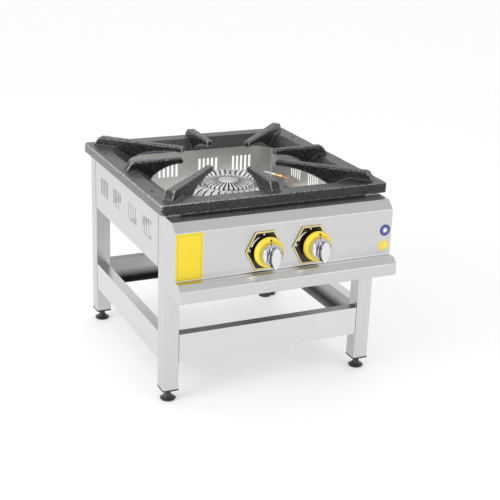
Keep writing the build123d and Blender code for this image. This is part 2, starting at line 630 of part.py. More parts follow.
def front_panel():
    """One folded sheet: deck, slanted band, knob panel, ledge, lip and bottom."""
    outline = box_profile()
    half = FRAME_HALF - SHEET
    shell = extrude(outline, half, both=True)
    inner = extrude(offset(outline, -BOX_SHEET, kind=Kind.INTERSECTION), half, both=True)
    back = block(-half, half, FRONT - BOX_SHEET, FRONT,
                 BOX_BOTTOM_Z + BOX_SHEET, DECK_Z - BOX_SHEET)
    shell -= inner + back
    behind = PANEL_Y + BOX_SHEET + OVERCUT
    shell -= [rod(knob_x(s), KNOB_Z, PANEL_Y - OVERCUT, behind, STEM_HOLE_RADIUS) for s in (-1, 1)]
    return shell - post(INLET_X, MANIFOLD_Y, BOX_BOTTOM_Z - OVERCUT,
                        BOX_BOTTOM_Z + BOX_SHEET + OVERCUT, INLET_HOLE_RADIUS)


def end_plate(side):
    plate = extrude(box_profile(), SHEET / 2, both=True)
    return Pos(side * (FRAME_HALF - SHEET / 2), 0, 0) * plate


def bezel(side):
    """Six-sided plate behind a knob, level edges above and below."""
    half_w, half_h, half_f = BEZEL_WIDTH / 2, BEZEL_HEIGHT / 2, BEZEL_FLAT / 2
    outline = make_face(Plane.XZ * Polyline(
        (half_w, 0), (half_f, half_h), (-half_f, half_h), (-half_w, 0),
        (-half_f, -half_h), (half_f, -half_h), close=True,
    ))
    plate = Pos(side * BEZEL_X, PANEL_Y, KNOB_Z) * extrude(outline, BEZEL_THICKNESS)
    return plate - rod(knob_x(side), KNOB_Z, PANEL_Y - 2 * BEZEL_THICKNESS, PANEL_Y + OVERCUT,
                       STEM_HOLE_RADIUS)


# ---------------------------------------------------------------- knobs and taps

def knob_skirt(side):
    """Flared ring behind the grip, hollow at the back."""
    back, front = KNOB_BACK_Y, SKIRT_FRONT_Y
    outline = make_face(Polyline(
        (SKIRT_RADIUS, back), (SKIRT_RADIUS - SKIRT_TAPER, front + SKIRT_ROUND),
        (SKIRT_RADIUS - SKIRT_TAPER - SKIRT_ROUND, front), (HUB_RADIUS, front + SKIRT_SEAT),
        (HUB_SPIGOT_RADIUS, front + SKIRT_SEAT),
        (HUB_SPIGOT_RADIUS, front + SKIRT_SEAT + SKIRT_WALL),
        (SKIRT_RADIUS - SKIRT_WALL - SKIRT_ROUND, front + SKIRT_SEAT + SKIRT_WALL),
        (SKIRT_RADIUS - SKIRT_WALL, back), close=True,
    ))
    return Pos(knob_x(side), 0, KNOB_Z) * revolve(outline, Axis.Y)


def knob_grip(side):
    """Round hub with an upright leaf-shaped grip that points down, bored for the stem."""
    seat = SKIRT_FRONT_Y + SKIRT_SEAT
    front = seat - HUB_DEPTH
    spigot = seat + SKIRT_WALL
    hub = revolve(make_face(Polyline(
        (0, spigot), (HUB_SPIGOT_RADIUS, spigot), (HUB_SPIGOT_RADIUS, seat), (HUB_RADIUS, seat),
        (HUB_RADIUS - HUB_TAPER, front + HUB_ROUND), (HUB_RADIUS - HUB_TAPER - HUB_ROUND, front),
        (0, front), close=True,
    )), Axis.Y)
    high, low = GRIP_ABOVE - GRIP_END, GRIP_END - GRIP_BELOW
    flank = ThreePointArc((GRIP_TIP_WIDTH / 2, low), (GRIP_WIDTH / 2, 0), (GRIP_TOP_WIDTH / 2, high))
    crown = ThreePointArc(flank @ 1, (0, GRIP_ABOVE), (-GRIP_TOP_WIDTH / 2, high))
    tip = ThreePointArc((-GRIP_TIP_WIDTH / 2, low), (0, -GRIP_BELOW), flank @ 0)
    leaf = make_face(flank + crown + mirror(flank, Plane.YZ) + tip)
    blade = Pos(0, SKIRT_FRONT_Y, 0) * extrude(Plane.XZ * leaf, GRIP_DEPTH, taper=GRIP_TAPER)
    bore = rod(0, 0, spigot + OVERCUT, front + HUB_ROUND, STEM_RADIUS)
    return Pos(knob_x(side), 0, KNOB_Z) * (hub + blade - bore)


def tap_stem(side):
    """Steel stem from the knob into the plug's socket, with room there for the push."""
    front = SKIRT_FRONT_Y + SKIRT_SEAT - HUB_DEPTH + HUB_ROUND
    back = TAP_FRONT_Y + PLUG_START + STEM_SOCKET - KNOB_PUSH - STEM_END_GAP
    return rod(knob_x(side), KNOB_Z, front, back, STEM_RADIUS)


def plug_outline(grow):
    start = TAP_FRONT_Y + PLUG_START
    end = start + PLUG_LENGTH
    return [(0, start), (PLUG_FRONT_RADIUS + grow, start), (PLUG_BACK_RADIUS + grow, end), (0, end)]


def tap_plug(side):
    """Tapered plug that turns in the tap body, with the socket in which the stem slides."""
    start = TAP_FRONT_Y + PLUG_START
    cone = turned_along_y(plug_outline(0), knob_x(side), KNOB_Z)
    return cone - rod(knob_x(side), KNOB_Z, start - OVERCUT, start + STEM_SOCKET,
                      STEM_RADIUS + RUNNING_FIT)


def gas_tap(side):
    """Brass barrel on a leg that saddles the manifold, with its outlet at the back."""
    x = knob_x(side)
    body = rod(x, KNOB_Z, TAP_FRONT_Y, TAP_BACK_Y, TAP_RADIUS)
    body += rod(x, KNOB_Z, TAP_FRONT_Y, TAP_BACK_Y + TAP_OUTLET_LENGTH, TAP_OUTLET_RADIUS)
    body += post(x, MANIFOLD_Y, MANIFOLD_Z, KNOB_Z, TAP_LEG_RADIUS)
    body -= manifold_space()
    body -= turned_along_y(plug_outline(RUNNING_FIT), x, KNOB_Z)
    return body - rod(x, KNOB_Z, TAP_FRONT_Y - OVERCUT, TAP_FRONT_Y + PLUG_START + OVERCUT,
                      STEM_RADIUS + RUNNING_FIT)


# ---------------------------------------------------------------- gas line

def manifold_space():
    return bar(MANIFOLD_Y, MANIFOLD_Z, KNOB_MIDDLE - MANIFOLD_HALF, KNOB_MIDDLE + MANIFOLD_HALF,
               MANIFOLD_RADIUS)


def manifold():
    """Closed pipe below the taps, with a branch down to the inlet."""
    bore_half = MANIFOLD_HALF - MANIFOLD_END
    branch_bottom = INLET_BOTTOM + INLET_NUT_HEIGHT
    pipework = manifold_space()
    pipework += post(INLET_X, MANIFOLD_Y, branch_bottom, MANIFOLD_Z, MANIFOLD_RADIUS)
    pipework -= bar(MANIFOLD_Y, MANIFOLD_Z, KNOB_MIDDLE - bore_half, KNOB_MIDDLE + bore_half,
                    MANIFOLD_BORE)
    return pipework - post(INLET_X, MANIFOLD_Y, INLET_BOTTOM, MANIFOLD_Z, MANIFOLD_BORE)


def gas_inlet():
    """Black six-sided socket below the box, where the supply hose screws in from below."""
    top = INLET_BOTTOM + INLET_NUT_HEIGHT
    nut = extrude(RegularPolygon(INLET_NUT_RADIUS, 6), INLET_NUT_HEIGHT)
    nut = chamfer(nut.faces().sort_by(Axis.Z)[0].edges(), INLET_CHAMFER)
    nut = Pos(INLET_X, MANIFOLD_Y, INLET_BOTTOM) * nut
    nut -= post(INLET_X, MANIFOLD_Y, INLET_BOTTOM, top, MANIFOLD_BORE)
    return nut - post(INLET_X, MANIFOLD_Y, INLET_BOTTOM, INLET_BOTTOM + INLET_THREAD_DEPTH,
                      INLET_THREAD_RADIUS)


def manifold_bracket(side):
    """Plate that holds the manifold off the bulkhead."""
    edge = MANIFOLD_RADIUS + MANIFOLD_BRACKET_EDGE
    half = MANIFOLD_BRACKET_WIDTH / 2
    plate = block(-half, half, MANIFOLD_Y - edge, FRONT, MANIFOLD_Z - edge, MANIFOLD_Z + edge)
    plate = Pos(KNOB_MIDDLE + side * MANIFOLD_BRACKET_X, 0, 0) * plate
    return plate - manifold_space()


def feed_pipe(side):
    """From the tap's outlet through the bulkhead to the injector of its mixing tube."""
    tube_z = OUTER_TUBE_Z if side < 0 else INNER_TUBE_Z
    start = TAP_BACK_Y + TAP_OUTLET_LENGTH
    return pipe([
        (knob_x(side), start, KNOB_Z), (knob_x(side), FRONT + FEED_FIRST_CORNER, KNOB_Z),
        (side * TUBE_X, FRONT + FEED_SECOND_CORNER, tube_z), (side * TUBE_X, INJECTOR_Y, tube_z),
    ], FEED_RADIUS, FEED_BEND)


def injector(side):
    tube_z = OUTER_TUBE_Z if side < 0 else INNER_TUBE_Z
    hexagon = extrude(RegularPolygon(INJECTOR_RADIUS, 6), INJECTOR_LENGTH)
    holder = Pos(side * TUBE_X, INJECTOR_Y, tube_z) * Rot(-90, 0, 0) * hexagon
    return holder + rod(side * TUBE_X, tube_z, INJECTOR_Y, MOUTH_Y, JET_RADIUS)


# ---------------------------------------------------------------- thermocouple

def thermocouple():
    """Thin steel tip, brass sleeve and nut, pointing at the edge of the outer ring."""
    length = PROBE_RUN.length
    shoulder = length - PROBE_TIP_LENGTH
    shape = turned([
        (0, 0), (PROBE_NUT_RADIUS, 0), (PROBE_NUT_RADIUS, PROBE_NUT_LENGTH),
        (PROBE_SLEEVE_RADIUS, PROBE_NUT_LENGTH), (PROBE_SLEEVE_RADIUS, shoulder - PROBE_SLEEVE_RADIUS),
        (PROBE_TIP_RADIUS, shoulder), (PROBE_TIP_RADIUS, length), (0, length),
    ])
    return Plane(origin=PROBE_END, z_dir=PROBE_DIRECTION).location * shape


def thermocouple_lead():
    """Thin copper lead from the probe, down into the well and forward to the safety magnet."""
    first = PROBE_END - PROBE_DIRECTION * LEAD_STRAIGHT
    return pipe([
        PROBE_END, first, first + LEAD_SAG,
        Vector(LEAD_WALL_X, FRONT + LEAD_NEAR_WALL, KNOB_Z),
        Vector(LEAD_WALL_X, MAGNET_Y, KNOB_Z), Vector(MAGNET_END_X, MAGNET_Y, KNOB_Z),
    ], LEAD_RADIUS, LEAD_BEND)


def safety_magnet():
    """Housing on the side of the right tap, where the thermocouple's lead ends."""
    housing = bar(MAGNET_Y, KNOB_Z, KNOB_RIGHT, MAGNET_END_X, MAGNET_RADIUS)
    return housing - rod(KNOB_RIGHT, KNOB_Z, TAP_FRONT_Y, TAP_BACK_Y, TAP_RADIUS)


def thermocouple_bracket():
    """Bent strip: its foot lies on the rear carrier, its upright holds the thermocouple."""
    x = PROBE_END.X
    y = PROBE_END.Y + BRACKET_SETBACK
    half = BRACKET_WIDTH / 2
    strip = block(x - half, x + half, y, POST_PLACE, CARRIER_TOP, CARRIER_TOP + BRACKET_SHEET)
    strip += block(x - half, x + half, y, y + BRACKET_SHEET, CARRIER_TOP, PROBE_END.Z + BRACKET_RISE)
    return strip - thermocouple()


# ---------------------------------------------------------------- all nodes

def all_pieces():
    pieces = {}
    for name, (sx, sy) in LEG_PLACES.items():
        pieces[f"leg_{name}"] = leg(sx, sy)
        pieces[f"leg_cap_{name}"] = leg_cap(sx, sy)
        pieces[f"foot_{name}"] = foot(sx, sy)
    for side in SIDE_TURN:
        pieces[f"lower_rail_{side}"] = lower_rail(side)
    for side in ("left", "right", "rear"):
        pieces[f"apron_{side}"] = apron(side)
    pieces["bulkhead"] = bulkhead()
    pieces["front_panel"] = front_panel()
    pieces["cast_top"] = cast_top()
    pieces["outer_ring_cap"] = outer_ring_cap()
    pieces["inner_burner_cap"] = inner_cap()
    pieces["burner_body"] = burner_body()
    pieces["inner_burner_body"] = inner_burner_body()
    pieces["outer_mixing_tube"] = outer_mixing_tube()
    pieces["inner_mixing_tube"] = inner_mixing_tube()
    pieces["burner_carrier_front"] = carrier(-1)
    pieces["burner_carrier_rear"] = carrier(1)
    pieces["burner_bolts"] = burner_bolts()
    for name, side in SIDES.items():
        pieces[f"box_end_{name}"] = end_plate(side)
        pieces[f"knob_bezel_{name}"] = bezel(side)
        pieces[f"knob_skirt_{name}"] = knob_skirt(side)
        pieces[f"knob_grip_{name}"] = knob_grip(side)
        pieces[f"tap_stem_{name}"] = tap_stem(side)
        pieces[f"tap_plug_{name}"] = tap_plug(side)
        pieces[f"gas_tap_{name}"] = gas_tap(side)
        pieces[f"feed_pipe_{name}"] = feed_pipe(side)
        pieces[f"injector_{name}"] = injector(side)
        pieces[f"manifold_bracket_{name}"] = manifold_bracket(side)
    pieces["manifold"] = manifold()
    pieces["gas_inlet"] = gas_inlet()
    pieces["thermocouple"] = thermocouple()
    pieces["thermocouple_lead"] = thermocouple_lead()
    pieces["thermocouple_bracket"] = thermocouple_bracket()
    pieces["safety_magnet"] = safety_magnet()
    return pieces


def save(name, piece):
    solids = piece if isinstance(piece, list) else [piece]
    found = [solid for item in solids for solid in item.solids()]
    shape = found[0] if len(found) == 1 else Compound(children=found)
    export_step(Pos(0, ORIGIN_SHIFT, 0) * shape, f"parts/{name}.step")


os.makedirs("parts", exist_ok=True)
for name, piece in all_pieces().items():
    save(name, piece)
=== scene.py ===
import json
import math

import bmesh
import bpy
from mathutils import Matrix, Vector, noise


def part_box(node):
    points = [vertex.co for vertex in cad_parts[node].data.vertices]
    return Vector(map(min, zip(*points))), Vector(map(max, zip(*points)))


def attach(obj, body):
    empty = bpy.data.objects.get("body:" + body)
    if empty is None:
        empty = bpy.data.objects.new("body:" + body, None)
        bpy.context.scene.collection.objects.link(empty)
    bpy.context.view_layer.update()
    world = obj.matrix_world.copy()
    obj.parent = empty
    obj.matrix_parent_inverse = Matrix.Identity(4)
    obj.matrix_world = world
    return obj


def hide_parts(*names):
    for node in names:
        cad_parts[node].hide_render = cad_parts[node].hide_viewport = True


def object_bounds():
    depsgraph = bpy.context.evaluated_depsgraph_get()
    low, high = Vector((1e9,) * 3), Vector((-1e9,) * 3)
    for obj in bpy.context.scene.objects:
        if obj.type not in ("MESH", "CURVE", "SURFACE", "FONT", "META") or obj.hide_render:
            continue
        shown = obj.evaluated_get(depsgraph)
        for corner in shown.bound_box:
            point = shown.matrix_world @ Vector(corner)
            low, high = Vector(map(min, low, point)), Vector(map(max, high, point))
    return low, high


# Looks of a stock pot range: finishes for the frame's nodes, rounded castings and mouldings in place
# of the sharp ones, the knob plates' print, and blank plates where the object has labels.
# Metres, in the frame's own axes: +Z up, the knob side faces -Y.

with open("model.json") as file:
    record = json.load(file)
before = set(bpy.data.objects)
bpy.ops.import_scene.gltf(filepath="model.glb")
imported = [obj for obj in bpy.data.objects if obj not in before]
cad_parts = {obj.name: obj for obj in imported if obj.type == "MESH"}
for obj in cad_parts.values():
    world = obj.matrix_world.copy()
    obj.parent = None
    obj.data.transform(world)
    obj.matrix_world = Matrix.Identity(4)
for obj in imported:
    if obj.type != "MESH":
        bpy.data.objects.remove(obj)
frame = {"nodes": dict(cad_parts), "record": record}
cad_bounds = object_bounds()

MM = 0.001
NODES = frame["nodes"]
BODY_OF = {node: body for body, nodes in frame["record"]["behaviour"]["bodies"].items() for node in nodes}
SLOT_OF = {entry["node"]: entry["material_slot"] for entry in frame["record"]["subparts"]}
SIDES = ("left", "right")
CORNERS = ("front_left", "front_right", "rear_left", "rear_right")
BURNER_Y = sum(corner.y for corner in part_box("inner_burner_cap")) / 2
PANEL_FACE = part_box("knob_bezel_left")[1].y     # Y of the knob panel, which the knobs' plates lie on

# ---------------------------------------------------------------- camera

CAMERA_YAW = math.radians(-25.317)
CAMERA_PITCH = math.radians(20.014)
CAMERA_ROLL = math.radians(2.028)
CAMERA_DISTANCE = 2.9884
CAMERA_TARGET = Vector((0.053, 0.02225, 0.2718))
FOCAL_LENGTH = 1116.33      # in pixels of the 500 pixel wide image
IMAGE_WIDTH = 500
SENSOR_WIDTH = 36           # in millimetres
VIEW_DEPTH = 60             # past the far edge of the floor


def make_camera():
    back = Vector((math.sin(CAMERA_YAW) * math.cos(CAMERA_PITCH),
                   -math.cos(CAMERA_YAW) * math.cos(CAMERA_PITCH), math.sin(CAMERA_PITCH)))
    level_right = (-back).cross(Vector((0, 0, 1))).normalized()
    level_up = level_right.cross(-back)
    right = level_right * math.cos(CAMERA_ROLL) + level_up * math.sin(CAMERA_ROLL)
    up = level_up * math.cos(CAMERA_ROLL) - level_right * math.sin(CAMERA_ROLL)
    camera = bpy.data.objects.new("camera", bpy.data.cameras.new("camera"))
    camera.data.sensor_width = SENSOR_WIDTH
    camera.data.lens = FOCAL_LENGTH / IMAGE_WIDTH * SENSOR_WIDTH
    camera.data.clip_end = VIEW_DEPTH
    turn = Matrix((right, up, back)).transposed().to_4x4()
    camera.matrix_world = Matrix.Translation(CAMERA_TARGET + back * CAMERA_DISTANCE) @ turn
    bpy.context.scene.collection.objects.link(camera)
    bpy.context.scene.camera = camera


# ---------------------------------------------------------------- finishes

SPREAD = (0.3, 0.7)         # most values of a noise pattern lie between these
MIDDLE = (0.35, 0.65)       # narrower limits, for a pattern with more contrast


def toned(colour, tone):
    return tuple(part * tone for part in colour)


class Finish:
    """A Principled material with patterns laid out in the object's own coordinates."""

    def __init__(self, name, colour, roughness, metallic=0.0):
        self.material = bpy.data.materials.new(name)
        self.material.use_nodes = True
        self.tree = self.material.node_tree
        self.shader = self.tree.nodes["Principled BSDF"]
        self.shader.inputs["Base Color"].default_value = (*colour, 1)
        self.shader.inputs["Roughness"].default_value = roughness
        self.shader.inputs["Metallic"].default_value = metallic
        own = self.tree.nodes.new("ShaderNodeTexCoord")
        self.place = own.outputs["Object"]
        self.normal = own.outputs["Normal"]

    def scaled_place(self, stretch):
        mapping = self.tree.nodes.new("ShaderNodeMapping")
        mapping.inputs["Scale"].default_value = stretch
        self.tree.links.new(self.place, mapping.inputs["Vector"])
        return mapping.outputs["Vector"]

    def noise(self, scale, detail=3.0, stretch=(1, 1, 1)):
        pattern = self.tree.nodes.new("ShaderNodeTexNoise")
        pattern.inputs["Scale"].default_value = scale
        pattern.inputs["Detail"].default_value = detail
        self.tree.links.new(self.scaled_place(stretch), pattern.inputs["Vector"])
        return pattern.outputs["Fac"]

    def edges(self):
        return self.tree.nodes.new("ShaderNodeNewGeometry").outputs["Pointiness"]

    def part_of(self, vector, axis):
        node = self.tree.nodes.new("ShaderNodeSeparateXYZ")
        self.tree.links.new(vector, node.inputs["Vector"])
        return node.outputs[axis]

    def at(self, axis):
        """A point's place along an axis."""
        return self.part_of(self.place, axis)

    def facing(self, axis):
        """How far a face looks along an axis, from -1 to 1."""
        return self.part_of(self.normal, axis)

    def outward(self):
        """Above zero on faces that look away from the middle of the object, below zero inside it."""
        level = self.tree.nodes.new("ShaderNodeVectorMath")
        level.operation = "MULTIPLY"
        level.inputs[1].default_value = (1, 1, 0)
        self.tree.links.new(self.normal, level.inputs[0])
        node = self.tree.nodes.new("ShaderNodeVectorMath")
        node.operation = "DOT_PRODUCT"
        self.tree.links.new(self.place, node.inputs[0])
        self.tree.links.new(level.outputs["Vector"], node.inputs[1])
        return node.outputs["Value"]

    def burner_place(self):
        """Distances to the right of and behind the burner's axis."""
        return self.at("X"), self.combine("SUBTRACT", self.at("Y"), BURNER_Y)

    def burner_angle(self):
        right, back = self.burner_place()
        return self.combine("ARCTAN2", back, right)

    def burner_radius(self):
        right, back = self.burner_place()
        return self.combine("SQRT", self.combine("ADD", self.times(right, right), self.times(back, back)))

    def facing_round(self):
        """How far a face looks along the burner's circumference, from 0 to 1."""
        angle = self.burner_angle()
        along_x = self.times(self.facing("X"), self.combine("SINE", angle))
        along_y = self.times(self.facing("Y"), self.combine("COSINE", angle))
        return self.combine("ABSOLUTE", self.combine("SUBTRACT", along_y, along_x))

    def spokes(self, count):
        """A wave round the burner with its tops on so many evenly spaced radii, the first on +X."""
        return self.combine("COSINE", self.times(self.burner_angle(), float(count)))

    def remap(self, value, low, high, new_low=0.0, new_high=1.0):
        """Move the stretch from low to high onto the new one, and hold the value at its ends."""
        node = self.tree.nodes.new("ShaderNodeMapRange")
        node.inputs["From Min"].default_value = low
        node.inputs["From Max"].default_value = high
        node.inputs["To Min"].default_value = new_low
        node.inputs["To Max"].default_value = new_high
        self.tree.links.new(value, node.inputs["Value"])
        return node.outputs["Result"]

    def combine(self, operation, first, second=0.0):
        """A Math node. Operations on one value take no notice of the second."""
        node = self.tree.nodes.new("ShaderNodeMath")
        node.operation = operation
        for socket, value in zip(node.inputs, (first, second)):
            if isinstance(value, float):
                socket.default_value = value
            else:
                self.tree.links.new(value, socket)
        return node.outputs["Value"]

    def times(self, product, *factors):
        for factor in factors:
            product = self.combine("MULTIPLY", product, factor)
        return product

    def mixed(self, first, second, share):
        """A weighted mean, in which share is the first one's weight."""
        return self.combine("ADD", self.times(first, share), self.times(second, 1 - share))

    def blend(self, factor, first, second):
        node = self.tree.nodes.new("ShaderNodeMix")
        node.data_type = "RGBA"
        self.tree.links.new(factor, node.inputs["Factor"])
        for socket, colour in ((node.inputs["A"], first), (node.inputs["B"], second)):
            if isinstance(colour, tuple):
                socket.default_value = (*colour, 1)
            else:
                self.tree.links.new(colour, socket)
        return node.outputs["Result"]

    def colour(self, output):
        self.tree.links.new(output, self.shader.inputs["Base Color"])

    def roughness(self, pattern, low, high, limits=SPREAD):
        """Roughness from low to high as a pattern goes from one of its limits to the other."""
        self.tree.links.new(self.remap(pattern, *limits, low, high), self.shader.inputs["Roughness"])

    def bump(self, height, depth, strength=1.0):
        node = self.tree.nodes.new("ShaderNodeBump")
        node.inputs["Distance"].default_value = depth
        node.inputs["Strength"].default_value = strength
        self.tree.links.new(height, node.inputs["Height"])
        if self.shader.inputs["Normal"].is_linked:
            before = self.shader.inputs["Normal"].links[0].from_socket
            self.tree.links.new(before, node.inputs["Normal"])
        self.tree.links.new(node.outputs["Normal"], self.shader.inputs["Normal"])


STEEL_DARK = (0.59, 0.59, 0.59)
STEEL_LIGHT = (0.635, 0.635, 0.635)
PANEL_TONE, RAIL_TONE, SIDE_TONE = 0.96, 1.11, 1.03     # painted light and shade: each group of sheets made lighter or darker to match how brightly it shows
WELL_STEEL = (0.60, 0.587, 0.56)        # heat-tinted inner faces round the burner
INNER_SHADED_STEEL = (0.40, 0.40, 0.40)        # painted shade: darker inner faces of the rails
INNER_PAINTED_SHADE = (0.05, 0.05, 0.05)        # painted shade along the lower edges of these faces
SHADE_FROM, SHADE_TO = 6 * MM, 34 * MM      # the painted shade is full below the first height above the rails' lower edge and gone above the second
RAIL_TOP_SHADE = (0.24, 0.24, 0.24)     # painted shade on the upper flanges of the front and rear rails
BACK_SHADE = (0.16, 0.16, 0.16)         # painted shade: dark wall behind the control box
STAIN_TONE = 1.25           # of the palest places on inner faces
GRAIN_LENGTH = 9            # streaks per metre along the grain
GRAIN_FINENESS = 1500       # streaks per metre across it
BAND_LENGTH, BAND_FINENESS = GRAIN_LENGTH / 4, GRAIN_FINENESS / 9       # the same of broader bands
FINE_SHARE = 0.45           # of the fine streaks in the grain, beside the bands
STREAK_SHARE = 0.3          # of the grain in the roughness, beside the smudges
INNER_LIMITS = (-0.04, -0.01)       # outward() on inner faces and on the others
LEVEL_TOP = (0.5, 0.9)      # facing Z where an upper face starts and where it is level


def brushed_steel(name, grain, inside=None, tone=1.0, shade_edge_node=None, tops=None):
    """Stainless sheet brushed along one axis, 0 to 2 for X to Z.

    Inside is the inner faces' colour; when a node is given after tone, painted shade darkens them just
    above that node's lower edge. Tops is the upper faces' colour, which the front and rear rails get as
    painted shade."""
    finish = Finish(name, STEEL_LIGHT, 0.3, metallic=1.0)

    def along_grain(length, fineness, detail):
        stretch = [fineness] * 3
        stretch[grain] = length
        return finish.noise(1.0, detail, tuple(stretch))

    fine = along_grain(GRAIN_LENGTH, GRAIN_FINENESS, 2.0)
    bands = along_grain(BAND_LENGTH, BAND_FINENESS, 3.0)
    smudges = finish.noise(6.0, 4.0)
    streaks = finish.mixed(fine, bands, FINE_SHARE)
    metal = finish.blend(finish.remap(streaks, *SPREAD), toned(STEEL_DARK, tone), toned(STEEL_LIGHT, tone))
    if inside:
        stained_and_shaded = finish.blend(finish.remap(smudges, *MIDDLE), inside, toned(inside, STAIN_TONE))
        if shade_edge_node:
            lower_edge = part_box(shade_edge_node)[0].z
            above = finish.remap(finish.at("Z"), lower_edge + SHADE_FROM, lower_edge + SHADE_TO)
            # painted shade: darker towards the lower edge of the inner faces
            stained_and_shaded = finish.blend(above, INNER_PAINTED_SHADE, stained_and_shaded)
        metal = finish.blend(finish.remap(finish.outward(), *INNER_LIMITS), stained_and_shaded, metal)
    if tops:
        # painted shade on upper faces, for the front and rear rails
        metal = finish.blend(finish.remap(finish.facing("Z"), *LEVEL_TOP), metal, tops)
    finish.colour(metal)
    finish.roughness(finish.mixed(streaks, smudges, STREAK_SHARE), 0.24, 0.36)
    finish.bump(fine, 0.01 * MM, 0.2)
    return finish.material


def painted_shade_sheet():
    """Rough dark grey sheet, painted shade for the wall behind the control box."""
    finish = Finish("painted_shade_sheet", BACK_SHADE, 0.55, metallic=0.8)
    clouds = finish.noise(25.0, 3.0)
    finish.colour(finish.blend(clouds, toned(BACK_SHADE, 0.8), BACK_SHADE))
    finish.roughness(clouds, 0.5, 0.65)
    return finish.material


IRON_DARK = (0.004, 0.0042, 0.005)
IRON_LIGHT = (0.010, 0.0102, 0.0115)
IRON_FLECK = (0.13, 0.13, 0.134)
# bright edges: partly worn enamel, partly painted highlight
IRON_WORN_GLINT = (0.48, 0.485, 0.50)
# painted light: grey for the left side and the tops, more towards the left
IRON_LIT_GREY = (0.13, 0.131, 0.134)
GRAIN_SCALE, SAND_SCALE, PATCH_SCALE = 330.0, 1100.0, 22.0
FLECK_LIMITS = (0.315, 0.41)            # of the product of grain and sand
WORN_GLINT_LIMITS = (0.518, 0.552)            # of the pointiness, where the edges are plain and where they are fully bright: partly worn enamel, partly painted highlight
LIT_TOP_LIMITS = (0.6, 0.9)                # facing Z, where the painted light on the tops starts and where it is full
LIT_TOP_PLACES = (-0.30, 0.25)             # from left to right: less painted light on the tops
LIT_TOP_SHARES = (0.62, 0.12)
WORN_GLINT_PLACES = (-0.28, 0.10)             # from left to right: fainter bright edges, the painted highlight stronger where the light falls
WORN_GLINT_SHARES = (1.0, 0.45)
LIT_PATCH_SCALE = 60.0
LIT_PATCH_LIMITS = (0.3, 0.6, 0.55, 1.0)     # limits of its pattern, and the painted light's share at these limits
LEFTWARD = (-0.9, -0.6)                 # facing X on a left side and where it has turned away
RIM_EDGE = cad_bounds[0].x + 4 * MM     # the rim's left side is painted lighter up to here
RIM_FADE = 2 * MM
CHIPPING = (0.965, 1.035)               # how the grain shifts where the bright edges begin


def rough_iron():
    """Black enamel on a sand casting: grainy and flecked, with bright edges that are partly worn enamel
    and partly painted highlight, and patchy painted light on its left side and on its tops towards the
    left.
    """
    finish = Finish("cast_iron_finish", IRON_LIGHT, 0.4)
    grain = finish.noise(GRAIN_SCALE, 4.0)
    sand = finish.noise(SAND_SCALE, 2.0)
    patches = finish.noise(PATCH_SCALE, 3.0)
    base = finish.blend(finish.remap(patches, *MIDDLE), IRON_DARK, IRON_LIGHT)
    from_left = finish.at("X")
    # painted light, in patches: tops lighter towards the left, and the rim's left side lighter
    tops = finish.times(finish.remap(from_left, *LIT_TOP_PLACES, *LIT_TOP_SHARES),
                        finish.remap(finish.facing("Z"), *LIT_TOP_LIMITS))
    side = finish.times(finish.remap(from_left, RIM_EDGE, RIM_EDGE - RIM_FADE),
                        finish.remap(finish.facing("X"), *LEFTWARD, 1.0, 0.0))
    painted_light = finish.times(finish.combine("MAXIMUM", tops, side),
                        finish.remap(finish.noise(LIT_PATCH_SCALE, 4.0), *LIT_PATCH_LIMITS))
    base = finish.blend(painted_light, base, IRON_LIT_GREY)
    flecks = finish.remap(finish.times(grain, sand), *FLECK_LIMITS)
    base = finish.blend(flecks, base, IRON_FLECK)
    # bright edges, partly worn enamel and partly painted highlight, stronger to the left where the light
    # falls
    chipped = finish.remap(grain, *MIDDLE, *CHIPPING)
    worn_glint = finish.remap(finish.times(finish.edges(), chipped), *WORN_GLINT_LIMITS)
    glint_from_left = finish.remap(from_left, *WORN_GLINT_PLACES, *WORN_GLINT_SHARES)
    finish.colour(finish.blend(finish.times(worn_glint, glint_from_left), base, IRON_WORN_GLINT))
    finish.roughness(grain, 0.24, 0.38, MIDDLE)
    finish.bump(finish.noise(160.0, 3.0), 0.4 * MM, 0.3)
    finish.bump(grain, 0.3 * MM, 0.6)
    finish.shader.inputs["Specular IOR Level"].default_value = 0.45
    return finish.material


BURNER_PALE = (0.88, 0.88, 0.875)
BURNER_GREY = (0.50, 0.495, 0.48)
# soot and painted shade in the caps' slots and along them
SOOT_AND_SHADE = (0.016, 0.015, 0.014)
SOOT_SHADE_TOP = {"outer_ring_cap": 0.4495, "inner_burner_cap": 0.4535}       # just above the slots' floors
SOOT_SHADE_FADE = 1.5 * MM
SLOTS = {"outer_ring_cap": 40, "inner_burner_cap": 32}
STEEP = (0.35, 0.7)         # facing Z of a steep face, which is not darkened, and of a level one
SLOT_WALL = (0.45, 0.75)    # facing round the burner of an outer face and of a slot's wall
SLOT_LINE_RADII = (14 * MM, 62 * MM)        # the dark lines along the slots, partly soot stains and partly painted shade of the slots, fill more of the round near the axis
SLOT_LINE_STARTS = (0.62, 0.93)             # where on the wave of spokes they begin at these radii
SLOT_LINE_EDGE = 0.15           # how much further up the wave they are at their full strength
SLOT_LINE_PAINT_SHARE = 0.1           # share of the paint that shows through a dark line


